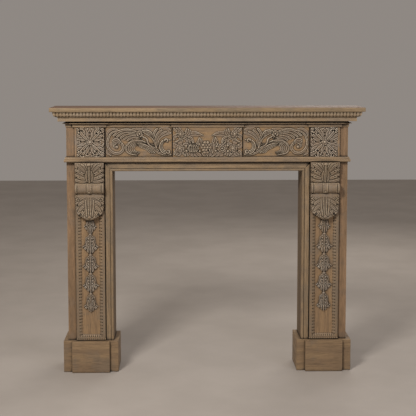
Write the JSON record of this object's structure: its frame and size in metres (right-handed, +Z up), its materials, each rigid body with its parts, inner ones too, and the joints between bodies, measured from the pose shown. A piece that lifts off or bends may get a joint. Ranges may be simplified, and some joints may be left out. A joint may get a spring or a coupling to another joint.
{
  "type": "fireplace mantel",
  "caption": "Carved oak fireplace surround with boxed legs, corbels, husk drops, a carved frieze with a garland tablet, and a moulded shelf.",
  "frame": {"origin": "middle of the floor footprint: half way across, half way between the wall plane and the shelf's front edge, at floor height", "axes": "+Z up, +X to the right as seen from the room, +Y towards the wall, so the carved front faces -Y"},
  "size_m": [1.51, 0.24, 1.3],
  "materials": {
    "washed_oak": "weathered oak with a thin grey-brown wash, matt",
    "carved_oak": "carved oak, grey wash left in the hollows, matt",
    "plinth_oak": "grey-brown washed oak, scuffed, matt",
    "back_timber": "plain unfinished timber"
  },
  "bodies": {
    "root": {"shelf": "washed_oak", "frieze_board": "washed_oak", "frieze_end_left": "washed_oak", "frieze_end_right": "washed_oak", "jamb_board_left": "washed_oak", "jamb_board_right": "washed_oak", "jamb_side_left": "washed_oak", "jamb_side_right": "washed_oak", "cornice_fascia_front": "washed_oak", "cornice_fascia_left": "washed_oak", "cornice_fascia_right": "washed_oak", "bed_mould_front": "washed_oak", "bed_mould_left": "washed_oak", "bed_mould_right": "washed_oak", "necking_front": "washed_oak", "necking_left": "washed_oak", "necking_right": "washed_oak", "slip_left": "washed_oak", "slip_right": "washed_oak", "slip_head": "washed_oak", "pilaster_left": "washed_oak", "pilaster_right": "washed_oak", "pilaster_foot_left": "washed_oak", "pilaster_foot_right": "washed_oak", "cornice_ovolo_front": "carved_oak", "cornice_ovolo_left": "carved_oak", "cornice_ovolo_right": "carved_oak", "frieze_panel_left": "carved_oak", "frieze_panel_right": "carved_oak", "frieze_tablet": "carved_oak", "corner_block_left": "carved_oak", "corner_block_right": "carved_oak", "corbel_left": "carved_oak", "corbel_right": "carved_oak", "drop_left": "carved_oak", "drop_right": "carved_oak", "plinth_front_left": "plinth_oak", "plinth_front_right": "plinth_oak", "plinth_outer_left": "plinth_oak", "plinth_outer_right": "plinth_oak", "plinth_inner_left": "plinth_oak", "plinth_inner_right": "plinth_oak", "plinth_block_left": "plinth_oak", "plinth_block_right": "plinth_oak", "reveal_board_left": "back_timber", "reveal_board_right": "back_timber", "reveal_head": "back_timber"}
  },
  "joints": []
}
